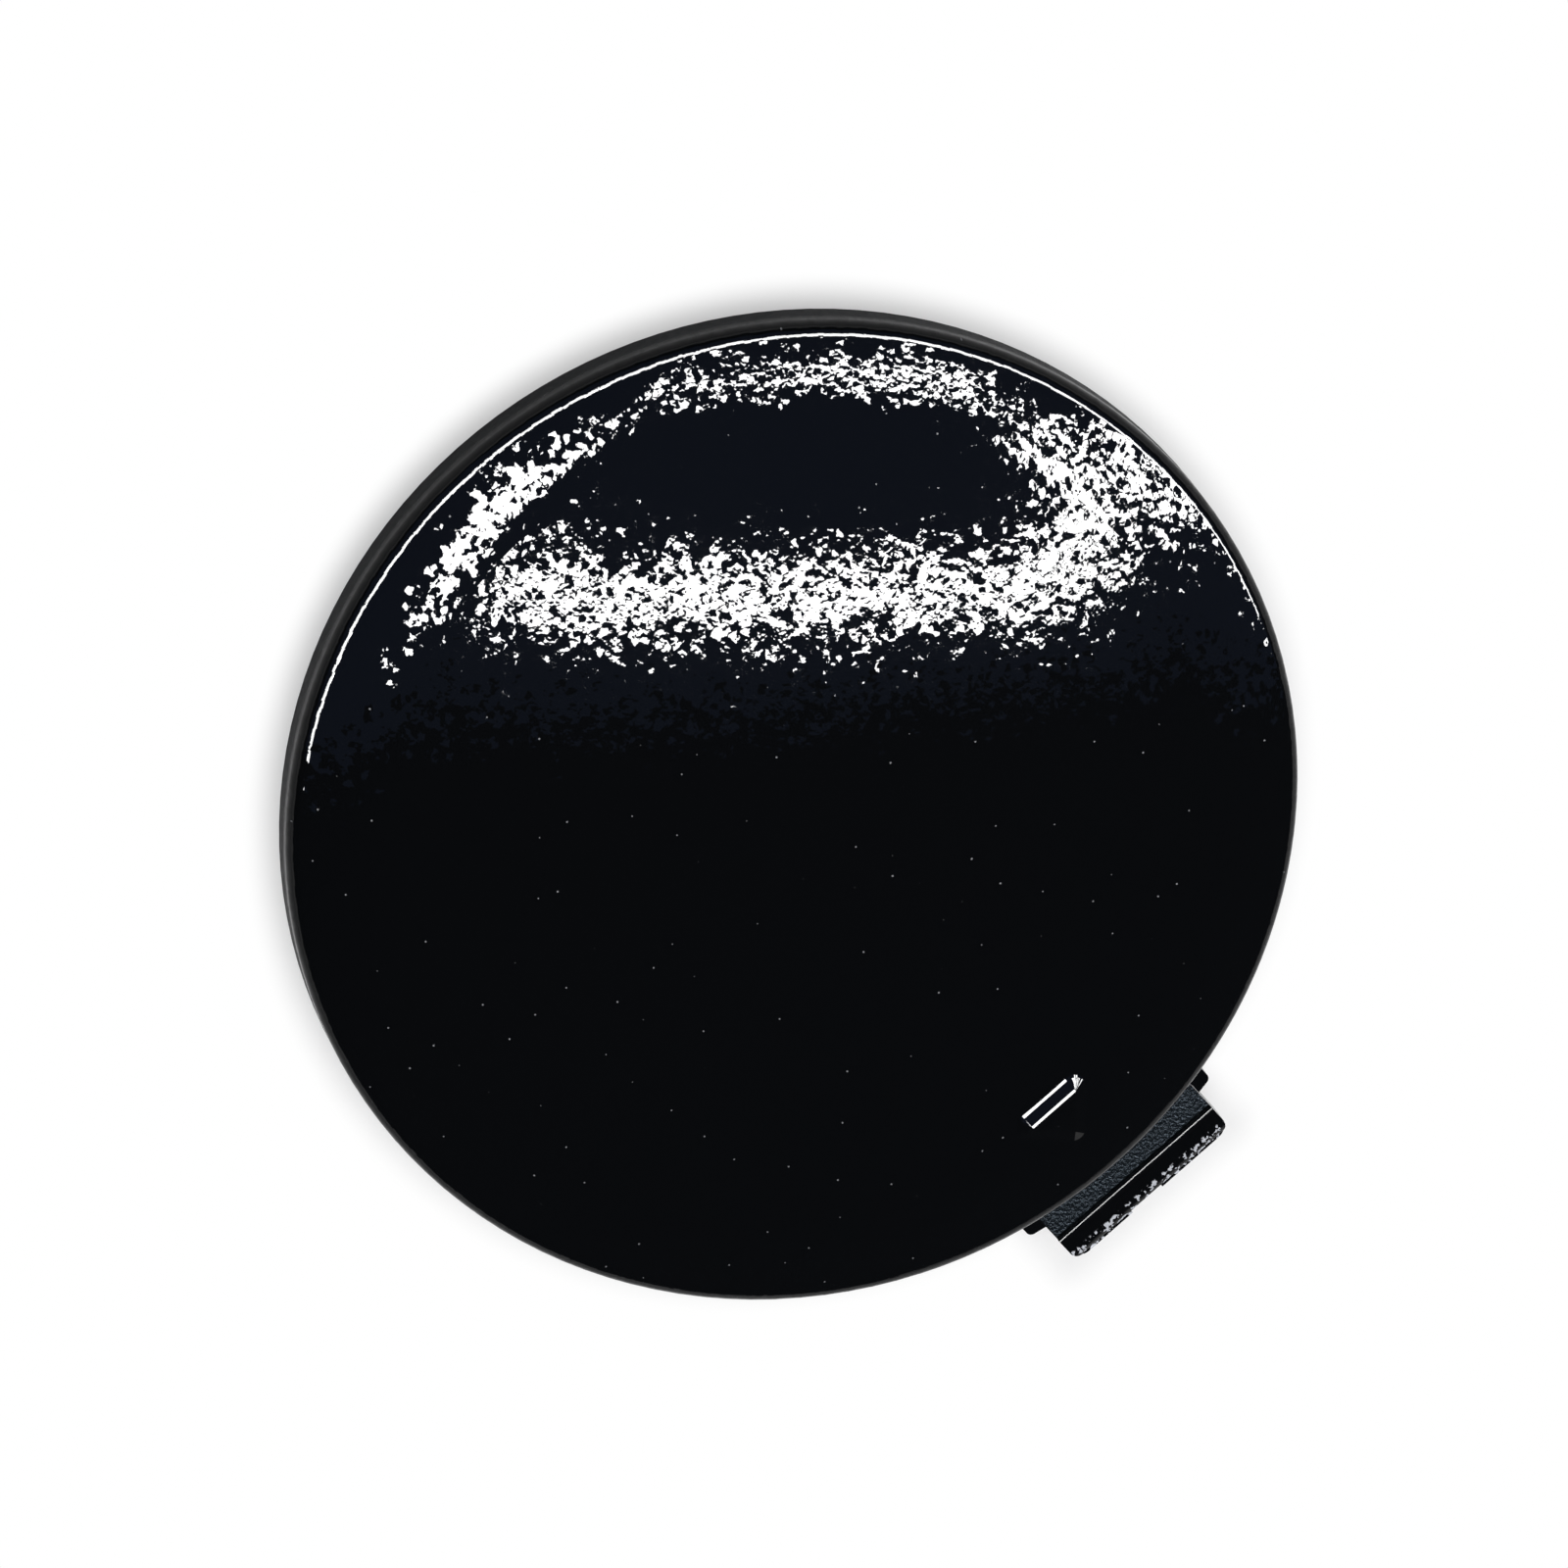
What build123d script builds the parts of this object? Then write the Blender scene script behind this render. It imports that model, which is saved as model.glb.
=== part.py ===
from build123d import *
import os
from math import asin, atan2, cos, radians, sin, sqrt, tan

# A round tow hook cover, moulded in one piece. The disc's axis is Z with the painted face up.
# The rim sits on the bumper at Z = 0 and the tongue points along +X. Millimetres and degrees.

# Face and rim
face_radius = 35.0  # where the face would meet the rim before the edge is rounded
rim_height = 3.6  # from the seat to the face's edge
rim_draft = 2.0  # the rim widens towards the seat
rim_wall = 2.0
face_thickness = 2.4
crown_radius = 260.0  # the flatter middle of the face
shoulder_width = 6.0  # the outer band of the face, which rolls off faster
shoulder_radius = 25.0
edge_radius = 1.3
seat_chamfer = 0.3
hollow_chamfer = 0.6  # inside corner between the face and the rim

# The bumper's round opening, which the cover clips into
seat_overlap = 6.0  # the rim's edge reaches this far past the opening's edge
opening_clearance = 0.4
panel_thickness = 2.8
panel_clearance = 0.2

# Collar, claws and ribs on the back
collar_wall = 1.6
collar_drop = 5.0  # below the bumper's inner side
collar_chamfer = 0.4
claw_angle = 35.0  # to each side of -X
claw_width = 9.0
claw_slot = 1.2
claw_root = 1.0  # collar left whole between a slot and the face
nose_reach = 1.8
nose_catch = 0.6  # how far the catch slopes down, so that the cover can be levered out
nose_land = 0.9
rib_thickness = 1.2
rib_drop = 3.6  # below the face at the collar

# Tongue behind the bumper's edge
tongue_bite = 12.8  # from the opening's edge to the tip
tongue_width = 14.4
tongue_thickness = 2.0
tongue_corner = 1.1
root_bite = 9.8  # the wider root, round like the disc
root_step = 1.3
root_corner = 0.45
bead_width = 2.4
bead_height = 0.5
bead_inner_radius = 0.15
bead_outer_radius = 1.05
notch_width = 2.8
notch_depth = 0.27
notch_offset = -0.6  # from the middle of the end, along Y
gusset_inset = 2.8  # from the tongue's side
gusset_thickness = 1.4
gusset_reach = 6.0  # along the tongue from the collar
gusset_lift = 0.6  # clear of the collar's lower edge

# Where turned surfaces start and end, between a rib and a claw
seam_angle = 110.0

# Raised triangle on the face, pointing to the tongue
mark_base = 8.2
mark_length = 5.3
mark_inset = 3.2  # from the face's edge to the tip, before its corners are rounded
mark_corner = 1.05
mark_offset = -0.5  # from the middle, along Y
mark_bevel = 0.18  # width of the gentle bevels along its foot and its crest
mark_bevel_slope = 16.8
mark_side = 0.72  # width of the steeper sides between the bevels
mark_side_slope = 21.0
mark_foot = 0.25  # sunk in the face

# Radii and heights that follow from these
opening_radius = face_radius - seat_overlap
collar_radius = opening_radius - opening_clearance
collar_inner = collar_radius - collar_wall
collar_middle = collar_radius - collar_wall / 2
seat_radius = face_radius + rim_height * tan(radians(rim_draft))
rim_inner = face_radius - rim_wall
tongue_top = -(panel_thickness + panel_clearance)
tongue_bottom = tongue_top - tongue_thickness
tongue_tip = opening_radius + tongue_bite
root_radius = opening_radius + root_bite
collar_bottom = tongue_top - collar_drop

# The face's section is two arcs that meet without a step at the crown's edge
crown_reach = face_radius - shoulder_width
crown_edge_angle = asin(crown_reach / crown_radius)
shoulder_centre = crown_reach - shoulder_radius * sin(crown_edge_angle)
shoulder_level = rim_height - sqrt(shoulder_radius**2 - (face_radius - shoulder_centre) ** 2)
crown_level = shoulder_level - (crown_radius - shoulder_radius) * cos(crown_edge_angle)


def face_height(radius, depth=0.0):
    """Height of the face at a radius, or of the surface that lies a depth below it."""
    if radius <= (crown_radius - depth) * sin(crown_edge_angle):
        return crown_level + sqrt((crown_radius - depth) ** 2 - radius**2)
    return shoulder_level + sqrt((shoulder_radius - depth) ** 2 - (radius - shoulder_centre) ** 2)


def face_point(radius, depth=0.0):
    """A point of the section, as radius and height."""
    return (radius, face_height(radius, depth))


def face_arcs():
    """The crown and shoulder arcs of the section, from the axis out to the rim."""
    spans = [(0.0, crown_reach), (crown_reach, face_radius)]
    radii = [(start, (start + end) / 2, end) for start, end in spans]
    return [ThreePointArc(*[face_point(radius) for radius in three]) for three in radii]


def inner_line(depth, reach):
    """Points of the hollow side of the section, which follows the face in two straight runs."""
    return [face_point(radius, depth) for radius in (0, crown_reach, reach)]


def turned(section):
    """Turns a section drawn as radius and height about the disc's axis."""
    return Rot(0, 0, seam_angle) * revolve(Plane.XZ * section, axis=Axis.Z)


def eased(section, corner, size, ease=fillet):
    """Rounds, or chamfers, the corner of a flat outline that lies nearest to a point."""
    nearest = section.vertices().sort_by_distance((*corner, 0))[0]
    return ease(nearest, size)


def face_shell():
    """The crowned face with its drafted rim, hollow below."""
    rim_line = [face_point(face_radius), (seat_radius, 0), (rim_inner, 0)]
    hollow_line = inner_line(face_thickness, rim_inner)
    closing_line = Polyline(*rim_line, *reversed(hollow_line), face_point(0))
    section = make_face(face_arcs() + [closing_line])
    section = eased(section, face_point(face_radius), edge_radius)
    section = eased(section, (seat_radius, 0), seat_chamfer, chamfer)
    section = eased(section, hollow_line[-1], hollow_chamfer, chamfer)
    return turned(section)


def claw_places():
    """The two claws, opposite the tongue."""
    return [Rot(0, 0, 180 + side * claw_angle) for side in (-1, 1)]


def collar():
    """The ring that drops into the opening, slit beside each claw."""
    top = face_height(collar_radius, face_thickness / 2)
    section = Pos(collar_middle, (top + collar_bottom) / 2) * Rectangle(collar_wall, top - collar_bottom)
    for radius in (collar_inner, collar_radius):
        section = eased(section, (radius, collar_bottom), collar_chamfer, chamfer)
    ring = turned(section)
    slot_top = face_height(collar_radius, face_thickness) - claw_root
    slot = Box(4 * collar_wall, claw_slot, 2 * (slot_top - collar_bottom))
    slots = [
        place * Pos(collar_middle, side * (claw_width + claw_slot) / 2, collar_bottom) * slot
        for place in claw_places()
        for side in (-1, 1)
    ]
    return ring - slots


def claw_noses():
    """The wedges that snap behind the bumper's edge, as wide as their claws."""
    nose_tip = collar_radius + nose_reach
    land_top = tongue_top - nose_catch
    section = make_face(
        Polyline(
            (collar_middle, tongue_top),
            (collar_radius, tongue_top),
            (nose_tip, land_top),
            (nose_tip, land_top - nose_land),
            (collar_radius, collar_bottom + collar_chamfer),
            (collar_middle, collar_bottom + collar_chamfer),
            close=True,
        )
    )
    ring = turned(section)
    window = Box(2 * nose_tip, claw_width, 4 * collar_drop)
    return [ring & (place * Pos(nose_tip, 0, tongue_top) * window) for place in claw_places()]


def cross_ribs():
    """Two thin ribs that stiffen the face inside the collar."""
    bottom = face_height(collar_radius, face_thickness) - rib_drop
    top_line = inner_line(face_thickness / 2, collar_middle)
    inside = make_face(Polyline(*top_line, (collar_middle, bottom), (0, bottom), close=True))
    slab = Box(2 * face_radius, rib_thickness, 4 * face_radius)
    return turned(inside) & (slab + Rot(0, 0, 90) * slab)


def tongue():
    """The plate that hooks behind the bumper's edge, with its root, end bead, notch and gussets."""
    width = tongue_width + 2 * root_step
    root = Circle(root_radius) & (Pos(root_radius / 2, 0) * Rectangle(root_radius, width))
    for side in (-1, 1):
        corner = (sqrt(root_radius**2 - width**2 / 4), side * width / 2)
        root = eased(root, corner, root_corner)
    blade = Pos(tongue_tip / 2, 0) * Rectangle(tongue_tip, tongue_width)
    for side in (-1, 1):
        blade = eased(blade, (tongue_tip, side * tongue_width / 2), tongue_corner)
    core = Circle(collar_middle)
    plate = extrude(Pos(0, 0, tongue_bottom) * (root + blade - core), tongue_thickness)

    bead_top = tongue_top + bead_height
    bead_inner = tongue_tip - bead_width
    bead_middle = Pos(tongue_tip - bead_width / 2, (bead_top + tongue_bottom) / 2)
    bead_section = bead_middle * Rectangle(bead_width, bead_top - tongue_bottom)
    bead_section = eased(bead_section, (bead_inner, bead_top), bead_inner_radius)
    bead_section = eased(bead_section, (tongue_tip, bead_top), bead_outer_radius)
    bead_bar = extrude(Plane.XZ * bead_section, tongue_width, both=True)
    bead = bead_bar & extrude(Pos(0, 0, tongue_bottom) * blade, bead_top - tongue_bottom)

    notch_block = Box(2 * notch_depth, notch_width, 4 * tongue_thickness)
    notch = Pos(tongue_tip, notch_offset, tongue_bottom) * notch_block

    gusset_foot = collar_bottom + gusset_lift
    gusset_outline = Polyline(
        (collar_middle, tongue_bottom),
        (collar_radius + gusset_reach, tongue_bottom),
        (collar_radius, gusset_foot),
        (collar_middle, gusset_foot),
        close=True,
    )
    gusset = extrude(Plane.XZ * make_face(gusset_outline), gusset_thickness / 2, both=True)
    gusset_offset = tongue_width / 2 - gusset_inset
    gussets = [Pos(0, side * gusset_offset, 0) * gusset for side in (-1, 1)]
    return plate + bead + gussets - notch


def pointer_mark():
    """The raised triangle, which stands on the chord of the face from its base to its tip."""
    tip = face_radius - mark_inset
    base = tip - mark_length
    drop = atan2(face_height(base) - face_height(tip), mark_length)
    outward = (sin(drop), 0, cos(drop))
    along = (cos(drop), 0, -sin(drop))
    ground = Plane(origin=(base, mark_offset, face_height(base)), x_dir=along, z_dir=outward)
    corners = [(mark_length, 0), (0, mark_base / 2), (0, -mark_base / 2)]
    outline = fillet(make_face(Polyline(*corners, close=True)).vertices(), mark_corner)
    spread = mark_foot / tan(radians(mark_bevel_slope))
    layers = [
        (spread + mark_bevel, mark_bevel_slope),
        (mark_side, mark_side_slope),
        (mark_bevel, mark_bevel_slope),
    ]
    outline = offset(outline, spread)
    level = -mark_foot
    block = []
    for width, slope in layers:
        rise = width * tan(radians(slope))
        block.append(extrude(Pos(0, 0, level) * outline, rise, taper=90 - slope))
        outline = offset(outline, -width)
        level += rise
    return ground * (block[0] + block[1:])


cover = face_shell() + collar() + claw_noses() + cross_ribs() + tongue() + pointer_mark()

os.makedirs("parts", exist_ok=True)
export_step(cover, "parts/tow_hook_cover.step")
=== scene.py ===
from math import cos, pi, radians, sin, sqrt
import bpy
import numpy as np
from mathutils import Matrix, Vector


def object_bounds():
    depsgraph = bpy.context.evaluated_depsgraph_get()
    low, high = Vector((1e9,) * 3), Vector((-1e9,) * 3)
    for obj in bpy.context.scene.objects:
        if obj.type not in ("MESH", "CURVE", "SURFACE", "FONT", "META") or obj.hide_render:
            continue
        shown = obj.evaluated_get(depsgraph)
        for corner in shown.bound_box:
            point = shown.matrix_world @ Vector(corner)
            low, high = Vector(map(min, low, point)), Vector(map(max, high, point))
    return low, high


# A painted tow hook cover, face up on a pale table. Metres; picture angles are degrees, 0 to the right.
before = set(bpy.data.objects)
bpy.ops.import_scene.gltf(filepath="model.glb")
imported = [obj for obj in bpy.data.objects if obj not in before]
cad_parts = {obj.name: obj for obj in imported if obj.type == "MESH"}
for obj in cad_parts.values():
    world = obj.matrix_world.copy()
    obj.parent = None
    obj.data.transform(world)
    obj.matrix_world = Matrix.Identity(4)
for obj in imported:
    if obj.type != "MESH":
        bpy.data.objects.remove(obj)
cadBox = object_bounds()
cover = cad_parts["tow_hook_cover"]
print("frame loaded", [round(value, 4) for corner in cadBox for value in corner])

# Camera: it leans away from the face's axis, and that lean points up and left in the picture
camera = {
    "tilt": 22.18,             # from the face's axis
    "leanTowards": 170.8,      # direction of the lean on the part, from +X
    "leanInPicture": 123.0,    # the same direction as the picture shows it
    "distance": 0.450,
    "frameWidth": 0.10641,     # what the picture spans at that distance
    "aimHeight": 0.002,        # the point on the axis that the pixel below shows
    "aimPixel": (812.8, 833.8),
    "pictureSize": 1600.0,
}
upright = Vector((0, 0, 1))
leanAngle = radians(camera["leanTowards"])
lean = Vector((cos(leanAngle), sin(leanAngle), 0))
tilt = radians(camera["tilt"])
toCamera = lean * sin(tilt) + upright * cos(tilt)
leanSeen = lean * cos(tilt) - upright * sin(tilt)
turn = radians(camera["leanInPicture"])
seenRight = leanSeen * cos(turn) - toCamera.cross(leanSeen) * sin(turn)
seenUp = toCamera.cross(seenRight)
tableRight = lean * cos(turn) - upright.cross(lean) * sin(turn)   # picture right, laid on the table
tableUp = upright.cross(tableRight)


def makeCamera():
    pixel = camera["frameWidth"] / camera["pictureSize"]
    middle = camera["pictureSize"] / 2
    across = (camera["aimPixel"][0] - middle) * pixel
    down = (camera["aimPixel"][1] - middle) * pixel
    aim = upright * camera["aimHeight"] - seenRight * across + seenUp * down
    data = bpy.data.cameras.new("photoCamera")
    data.sensor_width = 36.0
    data.lens = data.sensor_width * camera["distance"] / camera["frameWidth"]
    data.clip_start = 0.01
    data.clip_end = 20.0
    holder = bpy.data.objects.new("photoCamera", data)
    axes = Matrix((seenRight, seenUp, toCamera)).transposed().to_4x4()
    holder.matrix_world = Matrix.Translation(aim + toCamera * camera["distance"]) @ axes
    bpy.context.scene.collection.objects.link(holder)
    bpy.context.scene.camera = holder


makeCamera()
print("camera placed")


class Wire:
    # an output socket; arithmetic on it adds Math nodes to its tree
    def __init__(self, tree, socket=None):
        self.tree = tree
        self.socket = socket

    def node(self, kind, settings=None, inputs=None, out=0):
        made = self.tree.nodes.new("ShaderNode" + kind)
        for name, value in (settings or {}).items():
            setattr(made, name, value)
        for name, value in (inputs or {}).items():
            if isinstance(value, Wire):
                self.tree.links.new(value.socket, made.inputs[name])
            else:
                made.inputs[name].default_value = value
        return Wire(self.tree, made.outputs[out])

    def math(self, operation, *values):
        return self.node("Math", {"operation": operation}, dict(enumerate(values)))

    def __add__(self, other):
        return self.math("ADD", self, other)

    __radd__ = __add__

    def __sub__(self, other):
        return self.math("SUBTRACT", self, other)

    def __rsub__(self, other):
        return self.math("SUBTRACT", other, self)

    def __mul__(self, other):
        return self.math("MULTIPLY", self, other)

    __rmul__ = __mul__

    def __or__(self, other):
        return self.math("MAXIMUM", self, other)

    def rise(self, low, high):   # 0 below low, 1 above high, smooth between
        return self.node("MapRange", {"interpolation_type": "SMOOTHSTEP"},
                         {"Value": self, "From Min": low, "From Max": high})

    def between(self, first, second):   # a colour or a number, by this mask
        if any(isinstance(side, tuple) for side in (first, second)):
            return self.node("Mix", {"data_type": "RGBA"}, {0: self, 6: first, 7: second}, 2)
        return self.node("Mix", {"data_type": "FLOAT"}, {0: self, 2: first, 3: second})


def newMaterial(name):
    material = bpy.data.materials.new(name)
    material.use_nodes = True
    material.node_tree.nodes.clear()
    return material, Wire(material.node_tree)


def finishSurface(tree, shader):
    output = tree.nodes.new("ShaderNodeOutputMaterial")
    tree.links.new(shader.socket, output.inputs["Surface"])


# The face's rounded edge, in millimetres
edge = {
    "ringRadius": 33.73,       # the centre of the rounding
    "ringHeight": 2.67,
    "radius": 1.3,
    "fromRadius": (34.08, 34.16),
    "fromHeight": (2.66, 2.72),
}

# Where each finish begins or ends, as soft steps in millimetres; the "Up" ones are how far a surface faces up
zones = {
    "faceUp": (-0.15, 0.05),
    "faceHeight": (1.6, 2.0),
    "rimRadius": (34.2, 34.6),
    "rimHeight": (-0.35, -0.05),
    "rimThinBelow": (1.6, 2.6),
    "tongueUp": (-0.2, 0.1),
    "tongueFrom": (33.0, 33.4),
    "tongueBelow": (-2.2, -1.8),
    "stripUp": (0.2, 0.6),
    "stripFrom": (35.6, 36.6),
    "stripBelow": (-2.6, -2.0),
    "stripSide": (7.1, 7.2),
    "beadFrom": (39.3, 39.45),
    "paintedGlintUp": (0.2, 0.4),
    "paintedGlintFrom": (40.65, 40.8),    # the rounded end of the tongue
    "markFrom": (24.9, 25.6),
    "markTo": (31.3, 32.0),
    "markSide": (5.1, 5.7),
}

# Paint and bare plastic of the cover. Lengths here are millimetres on the part, tilts are radians.
paint = {
    "colour": (0.0027, 0.0031, 0.0038, 1),
    "rough": 0.022,
    "mirror": 0.14,            # 0.5 is plain plastic
    "peelSize": 0.46,          # the orange peel is small patches, each tilted its own way
    "peelWarp": 0.4,           # how far their edges wander, and over what length
    "warpSize": 0.35,
    "peelTilt": 0.026,
    "rimTilt": 0.068,          # stronger towards the rim
    "rimFrom": 27.0,
    "rimFull": 32.0,
    "edgeTilt": 0.050,         # and calm again on the rounded edge
    "edgeFrom": 33.2,
    "edgeFull": 33.9,
    "markCalm": 0.93,          # how much of the peel the raised triangle loses
    "rimThin": 0.85,           # how far the paint thins out down the rim's wall
    "waveSize": 1.0,
    "waveHeight": 0.013,
    # dust nibs in the paint; their glints are painted into the colour as pale specks, a painted highlight
    "nibSpacing": 3.0,
    "nibSize": 0.075,
    "nibLuck": (0.35, 1.0),    # cells below the first draw have none, and the rest grow to the second
    "nibEdge": 0.004,
    "nibGlintColour": (0.11, 0.115, 0.125, 1),
    "nibRough": 0.6,
}
drySpray = {
    "colour": (0.0045, 0.0062, 0.0085, 1),
    "rough": 0.27,
    "grain": 0.25,
    "height": 0.12,
}
# pale flecks painted on the tongue's rounded end: painted highlights in place of its glints
paintedEndGlints = {
    "colour": (0.50, 0.52, 0.57, 1),
    "rough": 0.5,
    "grain": 0.42,
    "share": (0.545, 0.585),   # the level of the grain above which the painted highlight shows
}
barePlastic = {
    "colour": (0.0075, 0.0078, 0.0083, 1),
    "rough": 0.44,
    "mirror": 0.04,
    "tint": (0.7, 0.85, 1.0, 1),
    "grain": 0.16,
    "height": 0.010,
}


def coverFinish():
    material, start = newMaterial("gloss_black_paint")
    coords = start.node("TexCoord", out="Object")
    place = start.node("VectorMath", {"operation": "SCALE"}, {0: coords, "Scale": 1000.0})
    x = start.node("SeparateXYZ", inputs={0: place}, out=0)
    y = start.node("SeparateXYZ", inputs={0: place}, out=1)
    z = start.node("SeparateXYZ", inputs={0: place}, out=2)
    across = start.math("ABSOLUTE", y)
    radius = start.math("SQRT", x * x + y * y)
    normal = start.node("NewGeometry", out="Normal")
    facing = start.node("SeparateXYZ", inputs={0: normal}, out=2)

    # On the rounded edge the surface points straight away from the ring at the rounding's centre
    side = radius - edge["ringRadius"]
    above = z - edge["ringHeight"]
    away = start.node("CombineXYZ", inputs={0: x * side, 1: y * side, 2: above * radius})
    away = start.node("VectorMath", {"operation": "NORMALIZE"}, {0: away})
    onEdge = radius.rise(*edge["fromRadius"]) * z.rise(*edge["fromHeight"])
    smooth = start.node("Mix", {"data_type": "VECTOR"}, {0: onEdge, 4: normal, 5: away}, 1)

    # Paint on face, rim and tongue, dry spray on the tongue's strip, bare plastic behind
    face = facing.rise(*zones["faceUp"]) * z.rise(*zones["faceHeight"])
    rim = radius.rise(*zones["rimRadius"]) * z.rise(*zones["rimHeight"])
    bead = x.rise(*zones["beadFrom"])
    tongue = facing.rise(*zones["tongueUp"]) * x.rise(*zones["tongueFrom"])
    tongue = tongue * (1 - z.rise(*zones["tongueBelow"]))
    strip = facing.rise(*zones["stripUp"]) * x.rise(*zones["stripFrom"]) * (1 - bead)
    strip = strip * (1 - z.rise(*zones["stripBelow"])) * (1 - across.rise(*zones["stripSide"]))
    gloss = (face | rim | bead | tongue) * (1 - strip)
    shine = gloss * (1 - rim * (1 - z.rise(*zones["rimThinBelow"])) * paint["rimThin"])
    mark = x.rise(*zones["markFrom"]) * (1 - x.rise(*zones["markTo"])) * (1 - across.rise(*zones["markSide"]))
    calm = 1 - mark * paint["markCalm"]

    def noise(grain, detail, out=0):
        waves = {"Vector": place, "Scale": 1.0 / grain, "Detail": detail, "Roughness": 0.5}
        return start.node("TexNoise", {"noise_dimensions": "3D"}, waves, out)

    # Orange peel: patches with wavy edges, each tilted at random
    half = (0.5, 0.5, 0.5)
    wander = noise(paint["warpSize"], 1.0, "Color")
    wander = start.node("VectorMath", {"operation": "SUBTRACT"}, {0: wander, 1: half})
    wander = start.node("VectorMath", {"operation": "SCALE"}, {0: wander, "Scale": paint["peelWarp"]})
    warped = start.node("VectorMath", {"operation": "ADD"}, {0: place, 1: wander})
    peelCells = {"Vector": warped, "Scale": 1.0 / paint["peelSize"]}
    patch = start.node("TexVoronoi", {"feature": "F1"}, peelCells, "Color")
    patchTilt = radius.rise(paint["rimFrom"], paint["rimFull"]).between(paint["peelTilt"], paint["rimTilt"])
    patchTilt = radius.rise(paint["edgeFrom"], paint["edgeFull"]).between(patchTilt, paint["edgeTilt"])
    patchTilt = patchTilt * calm * gloss
    patchLean = start.node("VectorMath", {"operation": "SUBTRACT"}, {0: patch, 1: half})
    patchLean = start.node("VectorMath", {"operation": "SCALE"}, {0: patchLean, "Scale": patchTilt})
    tilted = start.node("VectorMath", {"operation": "ADD"}, {0: smooth, 1: patchLean})
    tilted = start.node("VectorMath", {"operation": "NORMALIZE"}, {0: tilted})

    # Fine relief over that, in millimetres
    height = noise(paint["waveSize"], 2.0) * calm * gloss * paint["waveHeight"]
    height = height + noise(drySpray["grain"], 2.0) * strip * drySpray["height"]
    height = height + noise(barePlastic["grain"], 2.0) * (1 - (gloss | strip)) * barePlastic["height"]
    relief = start.node("Bump", inputs={
        "Strength": 1.0, "Distance": 0.001, "Height": height, "Normal": tilted})

    # Dust nibs with painted highlights: a small pale speck in the colour, in some cells of a scattered grid,
    # standing in for their glints
    cells = {"Vector": place, "Scale": 1.0 / paint["nibSpacing"], "Randomness": 1.0}
    flatCells = {"feature": "F1", "voronoi_dimensions": "2D"}
    nibAway = start.node("TexVoronoi", flatCells, cells, out="Distance")
    nibDraw = start.node("TexVoronoi", flatCells, cells, out="Color")
    luck = start.node("SeparateColor", inputs={0: nibDraw}, out=0)
    reach = luck.rise(*paint["nibLuck"]) * (paint["nibSize"] / paint["nibSpacing"])
    nibGlint = (reach - nibAway).rise(0.0, paint["nibEdge"]) * face

    # Painted highlights: pale flecks on the tongue's rounded end, where it faces up, standing in for its
    # glints
    paintedEndGlint = noise(paintedEndGlints["grain"], 2.0).rise(*paintedEndGlints["share"])
    paintedEndGlint = paintedEndGlint * x.rise(*zones["paintedGlintFrom"]) * facing.rise(*zones["paintedGlintUp"])

    # painted highlight: the nibs' glints as pale specks in the paint's colour
    paintColour = nibGlint.between(paint["colour"], paint["nibGlintColour"])
    # painted highlight: pale flecks on the tongue's end in place of its glints
    paintColour = paintedEndGlint.between(paintColour, paintedEndGlints["colour"])
    paintRough = paintedEndGlint.between(nibGlint.between(paint["rough"], paint["nibRough"]), paintedEndGlints["rough"])
    painted = start.node("BsdfPrincipled", inputs={
        "Base Color": paintColour, "Roughness": paintRough,
        "Specular IOR Level": paint["mirror"], "Normal": relief})
    dull = start.node("BsdfPrincipled", inputs={
        "Base Color": strip.between(barePlastic["colour"], drySpray["colour"]),
        "Roughness": strip.between(barePlastic["rough"], drySpray["rough"]),
        "Specular IOR Level": barePlastic["mirror"], "Specular Tint": barePlastic["tint"],
        "Normal": relief})
    finishSurface(material.node_tree, start.node("MixShader", inputs={0: shine, 1: dull, 2: painted}))
    return material


cover.material_slots[0].material = coverFinish()
print("cover painted")

# Table and backdrop: one round sheet, flat, then rolling up into a low wall
table = {
    "colour": (0.86, 0.862, 0.868, 1),
    "height": cadBox[0].z,
    "flatReach": 1.6,
    "rollRadius": 0.25,
    "wallTop": 0.32,
    "whiteFrom": 0.14,         # beyond this the table shows as plain white paper
    "whiteFull": 0.45,
    "seenShift": lean * 0.00326,   # brings the outline down to the table as the camera sees it
    "discRadius": 0.0351,      # the outline that the soft shadow follows
    "tongueHalf": 0.0072,
    "tongueFrom": 0.030,
    "tongueTo": 0.0405,
    "shadowWhite": 0.47,       # how far a painted glow, seen only by the camera, lifts the table close to the cover towards white over its real shadow
    "shadowReach": 0.0032,
    "darkInside": (0.026, 0.0305),   # no lift inside the collar
}


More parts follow.
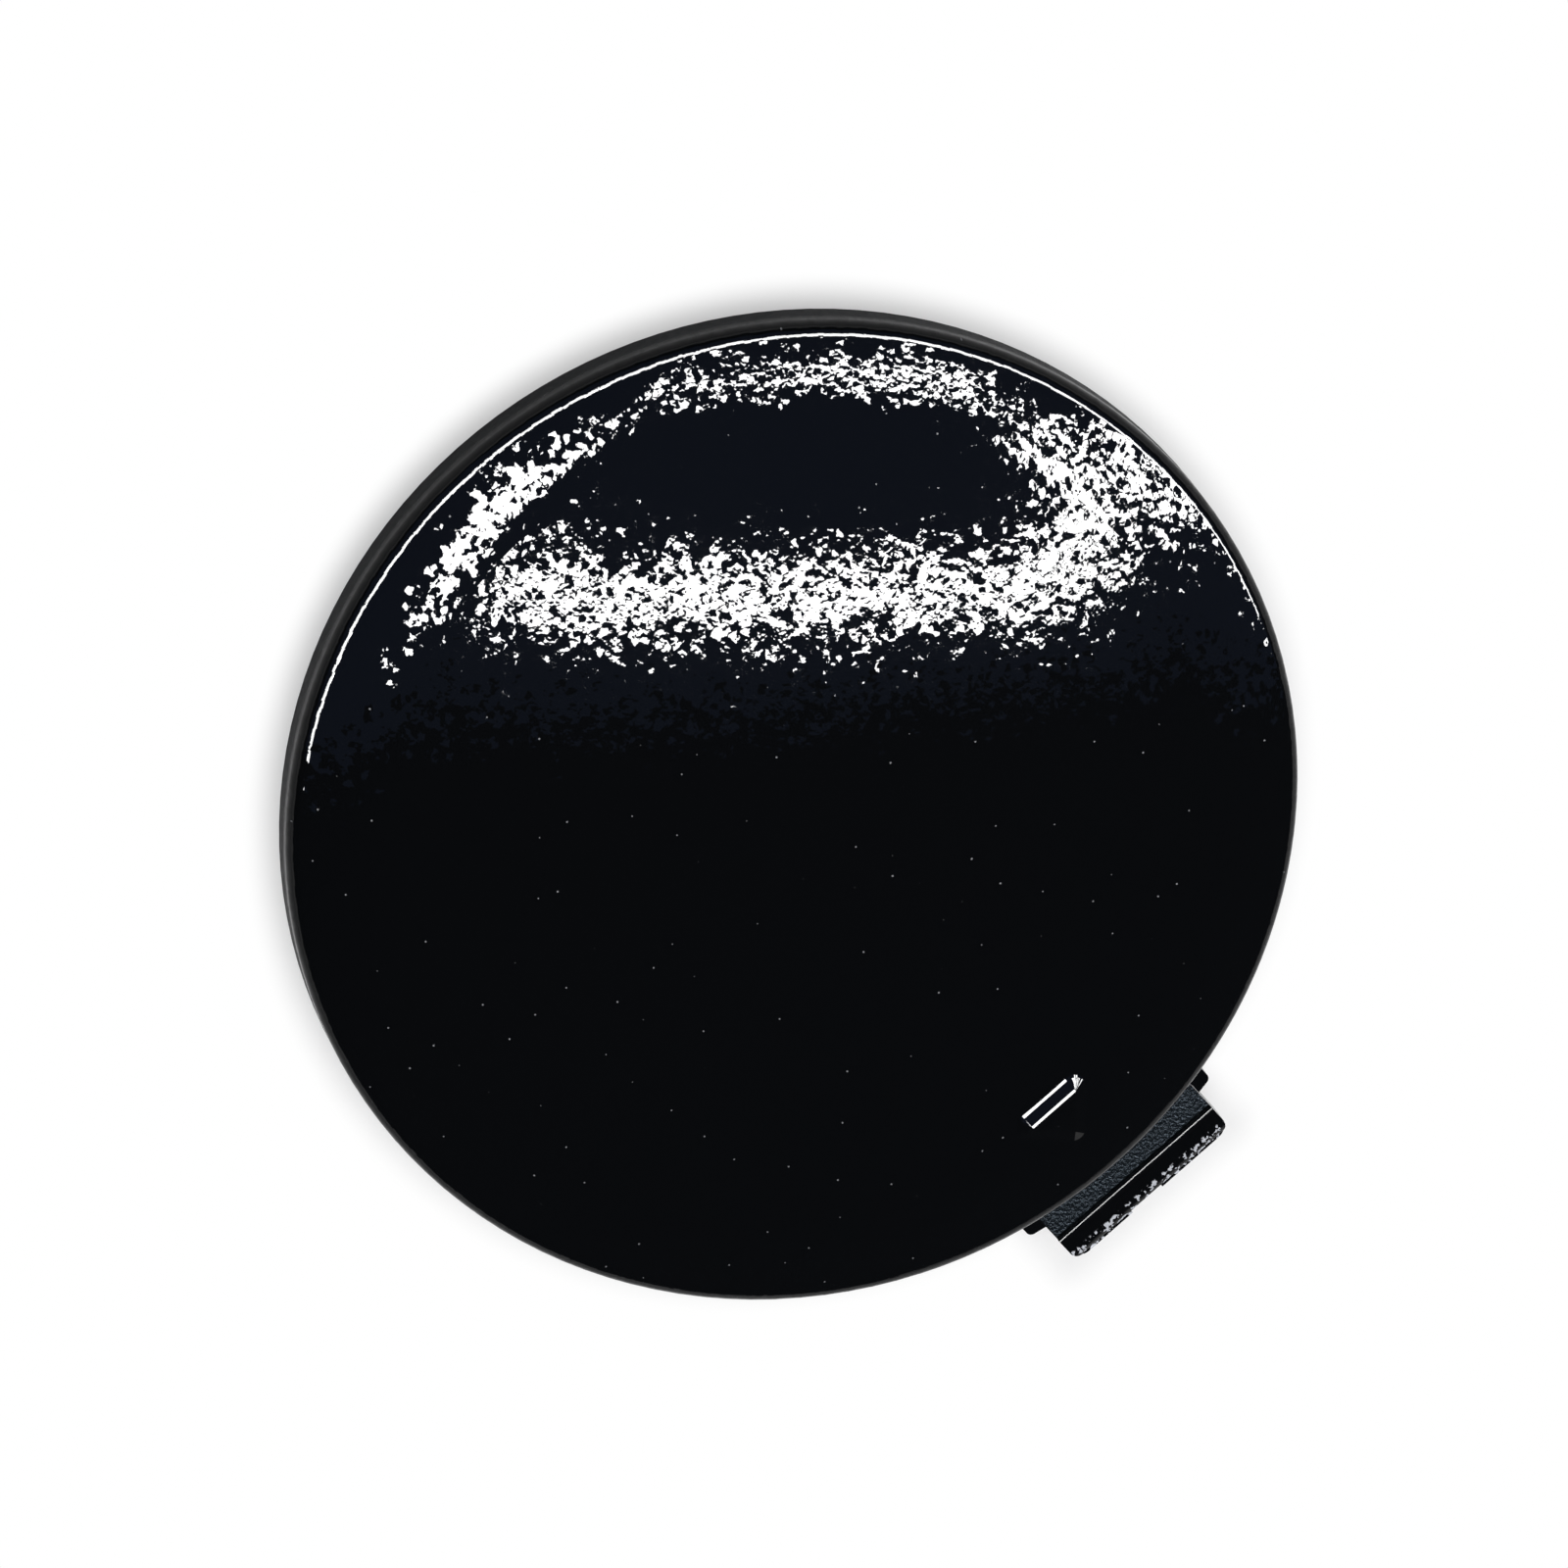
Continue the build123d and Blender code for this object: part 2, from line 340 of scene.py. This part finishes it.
def makeTable():
    # a profile of radius and height, straight, then a quarter circle, then straight up,
    # carried round the axis
    steps = np.linspace(0, pi / 2, 24)
    flat = np.stack([np.linspace(0.0, table["flatReach"], 40), np.zeros(40)], 1)
    roll = np.stack([table["flatReach"] + table["rollRadius"] * np.sin(steps),
                     table["rollRadius"] * (1 - np.cos(steps))], 1)
    wall = np.array([[table["flatReach"] + table["rollRadius"], table["wallTop"]]])
    profile = np.concatenate([flat[1:], roll[1:], wall])
    around = np.linspace(0, 2 * pi, 128, endpoint=False)
    ring = np.stack([np.cos(around), np.sin(around)], 1)
    points = np.zeros((len(profile), len(around), 3))
    points[:, :, :2] = profile[:, None, :1] * ring[None]
    points[:, :, 2] = profile[:, None, 1] + table["height"]
    middle = np.array([[0.0, 0.0, table["height"]]])
    grid = np.arange(len(profile) * len(around)).reshape(len(profile), len(around)) + 1
    after = np.roll(grid, -1, axis=1)
    quads = np.stack([grid[:-1], grid[1:], after[1:], after[:-1]], -1).reshape(-1, 4)
    fan = np.stack([np.zeros_like(grid[0]), grid[0], after[0]], -1)
    mesh = bpy.data.meshes.new("table")
    corners = np.concatenate([middle, points.reshape(-1, 3)])
    mesh.from_pydata(corners.tolist(), [], fan.tolist() + quads.tolist())
    mesh.shade_smooth()
    sheet = bpy.data.objects.new("table", mesh)
    bpy.context.scene.collection.objects.link(sheet)

    material, start = newMaterial("white_table")
    coords = start.node("TexCoord", out="Object")
    flatOnly = start.node("VectorMath", {"operation": "MULTIPLY"}, {0: coords, 1: (1, 1, 0)})
    away = start.node("VectorMath", {"operation": "LENGTH"}, {0: flatOnly}, out="Value")
    # distance from the outline of disc and tongue: a painted glow lifts the table to white beyond it, so only
    # a narrow band of the real soft shadow shows beside it
    moved = start.node("VectorMath", {"operation": "ADD"}, {0: flatOnly, 1: tuple(table["seenShift"])})
    x = start.node("SeparateXYZ", inputs={0: moved}, out=0)
    y = start.node("SeparateXYZ", inputs={0: moved}, out=1)
    fromDisc = start.node("VectorMath", {"operation": "LENGTH"}, {0: moved}, out="Value") - table["discRadius"]
    beside = (start.math("ABSOLUTE", y) - table["tongueHalf"]) | 0.0
    beyond = (x - table["tongueTo"]) | 0.0
    fromTongue = start.math("SQRT", beside * beside + beyond * beyond) | (table["tongueFrom"] - x)
    outside = start.math("MINIMUM", fromDisc, fromTongue).rise(0.0, table["shadowReach"])
    lift = outside * (1 - table["shadowWhite"]) + table["shadowWhite"]
    lift = lift * away.rise(*table["darkInside"])
    seen = start.node("LightPath", out="Is Camera Ray")
    mirrored = start.node("LightPath", out="Is Glossy Ray")
    through = start.node("LightPath", out="Is Transmission Ray")
    far = away.rise(table["whiteFrom"], table["whiteFull"])
    white = (seen * lift) | ((seen | mirrored | through) * far)
    paper = start.node("BsdfDiffuse", inputs={"Color": table["colour"]})
    glow = start.node("Emission", inputs={"Color": (1, 1, 1, 1), "Strength": 1.0})
    finishSurface(material.node_tree, start.node("MixShader", inputs={0: white, 1: paper, 2: glow}))
    mesh.materials.append(material)


makeTable()
print("table laid")

# Lamps: bars over the cover, each by its direction from there, to the right and up in the picture
lamps = {
    "distance": 2.5,
    "centre": Vector((0, 0, 0.005)),
    "radiance": 90.0,
    "sideRadiance": 1.0,
    "power": 4.0,              # watts for a square metre at a level of 1
}
# right, up, length, thickness, turn in the picture
lampBars = {
    "lowerBar": (0.190, -0.160, 0.42, 0.034, -2.0),
    "leftBar": (-0.145, 0.020, 0.26, 0.105, 88.0),
    "leftBarInner": (-0.068, 0.085, 0.14, 0.044, 88.0),
    "rightBarInner": (0.400, -0.050, 0.18, 0.055, 84.0),
    "rightBarMiddle": (0.480, 0.015, 0.19, 0.055, 84.0),
    "rightBarOuter": (0.565, 0.070, 0.18, 0.055, 84.0),
    "rightBarFar": (0.650, 0.110, 0.15, 0.050, 84.0),
    "upperBarInner": (0.285, 0.115, 0.32, 0.026, 0.0),
    "upperBarMiddle": (0.220, 0.185, 0.46, 0.032, 0.0),
    "upperBarOuter": (0.230, 0.255, 0.42, 0.026, 0.0),
}
lowSideBar = (0.53, -0.81, 0.40, 0.070, 33.0)


def hangLamp(name, towards, along, length, thickness, radiance):
    # a lamp that only mirrors show; the table does not feel it
    along = (along - towards * along.dot(towards)).normalized()
    data = bpy.data.lights.new(name, "AREA")
    data.shape = "RECTANGLE"
    data.size = length * lamps["distance"]
    data.size_y = thickness * lamps["distance"]
    data.energy = lamps["power"] * radiance * data.size * data.size_y
    bar = bpy.data.objects.new(name, data)
    axes = Matrix((along, towards.cross(along), towards)).transposed().to_4x4()
    bar.matrix_world = Matrix.Translation(lamps["centre"] + towards * lamps["distance"]) @ axes
    bar.visible_diffuse = False
    bpy.context.scene.collection.objects.link(bar)


def hangBar(name, place, radiance):
    right, up, length, thickness, turned = place
    towards = tableRight * right + tableUp * up + upright * sqrt(1 - right**2 - up**2)
    along = tableRight * cos(radians(turned)) + tableUp * sin(radians(turned))
    hangLamp(name, towards, along, length, thickness, radiance)


for name, place in lampBars.items():
    hangBar(name, place, lamps["radiance"])
hangBar("lowSideBar", lowSideBar, lamps["sideRadiance"])

# The bright line round the upper edge: bars where the rounded edge mirrors them to the camera
edgeLine = {
    "from": 24.0,
    "to": 169.0,
    "count": 16,
    "rightSlopes": (18.3, 22.5),   # the slopes of the edge between which the line lies
    "leftSlopes": (20.5, 28.0),
    "rightUntil": 40.0,
    "leftFrom": 80.0,
    "overlap": 1.05,
    "radiance": 75.0,
}


def edgeMirror(around, slope):
    # the direction in which the edge mirrors the camera's view, at an angle round the disc
    # and a slope of the edge
    outward = tableRight * cos(radians(around)) + tableUp * sin(radians(around))
    normal = outward * sin(radians(slope)) + upright * cos(radians(slope))
    point = (outward * edge["ringRadius"] + upright * edge["ringHeight"] + normal * edge["radius"]) / 1000
    view = (bpy.context.scene.camera.location - point).normalized()
    return normal * 2 * normal.dot(view) - view


step = (edgeLine["to"] - edgeLine["from"]) / edgeLine["count"]
for number in range(edgeLine["count"]):
    around = edgeLine["from"] + (number + 0.5) * step
    part = np.interp(around, [edgeLine["rightUntil"], edgeLine["leftFrom"]], [0, 1])
    pairs = zip(edgeLine["rightSlopes"], edgeLine["leftSlopes"])
    slopes = [right + (left - right) * part for right, left in pairs]
    near = edgeMirror(around, slopes[0])
    far = edgeMirror(around, slopes[1])
    towards = (near + far).normalized()
    ends = [edgeMirror(around + side * step / 2, sum(slopes) / 2) for side in (-1, 1)]
    length = (ends[1] - ends[0]).length * edgeLine["overlap"]
    hangLamp(f"edgeBar{number:02d}", towards, towards.cross(far - near), length, (far - near).length,
             edgeLine["radiance"])

# Two flat panels: a bluish ceiling that only mirrors show, and the soft light on the table
panels = {
    "ceiling": {"height": 1.2, "near": -0.29, "far": 2.4, "right": 0.0, "width": 5.0,
                "colour": (0.13, 0.19, 0.37), "level": 1.0},
    "softBox": {"height": 1.3, "near": -1.7, "far": 0.3, "right": 0.45, "width": 2.0,
                "colour": (1.0, 0.995, 0.99), "level": 1.9},
}


def hangPanel(name, height, near, far, right, width, colour, level):
    data = bpy.data.lights.new(name, "AREA")
    data.shape = "RECTANGLE"
    data.size = width
    data.size_y = far - near
    data.energy = lamps["power"] * level * width * (far - near)
    data.color = colour
    sheet = bpy.data.objects.new(name, data)
    axes = Matrix((tableRight, tableUp, upright)).transposed().to_4x4()
    spot = upright * height + tableUp * (near + far) / 2 + tableRight * right
    sheet.matrix_world = Matrix.Translation(spot) @ axes
    bpy.context.scene.collection.objects.link(sheet)
    return sheet


hangPanel("ceiling", **panels["ceiling"]).visible_diffuse = False
hangPanel("softBox", **panels["softBox"]).visible_glossy = False
print("lamps hung")

# Room: a dim even surround
room = {"colour": (0.045, 0.047, 0.052, 1)}


def makeRoom():
    world = bpy.data.worlds.new("room")
    world.use_nodes = True
    world.node_tree.nodes.clear()
    back = Wire(world.node_tree).node("Background", inputs={"Color": room["colour"], "Strength": 1.0})
    output = world.node_tree.nodes.new("ShaderNodeOutputWorld")
    world.node_tree.links.new(back.socket, output.inputs["Surface"])
    bpy.context.scene.world = world


makeRoom()
bpy.context.scene.view_settings.view_transform = "Standard"
print("room lit")
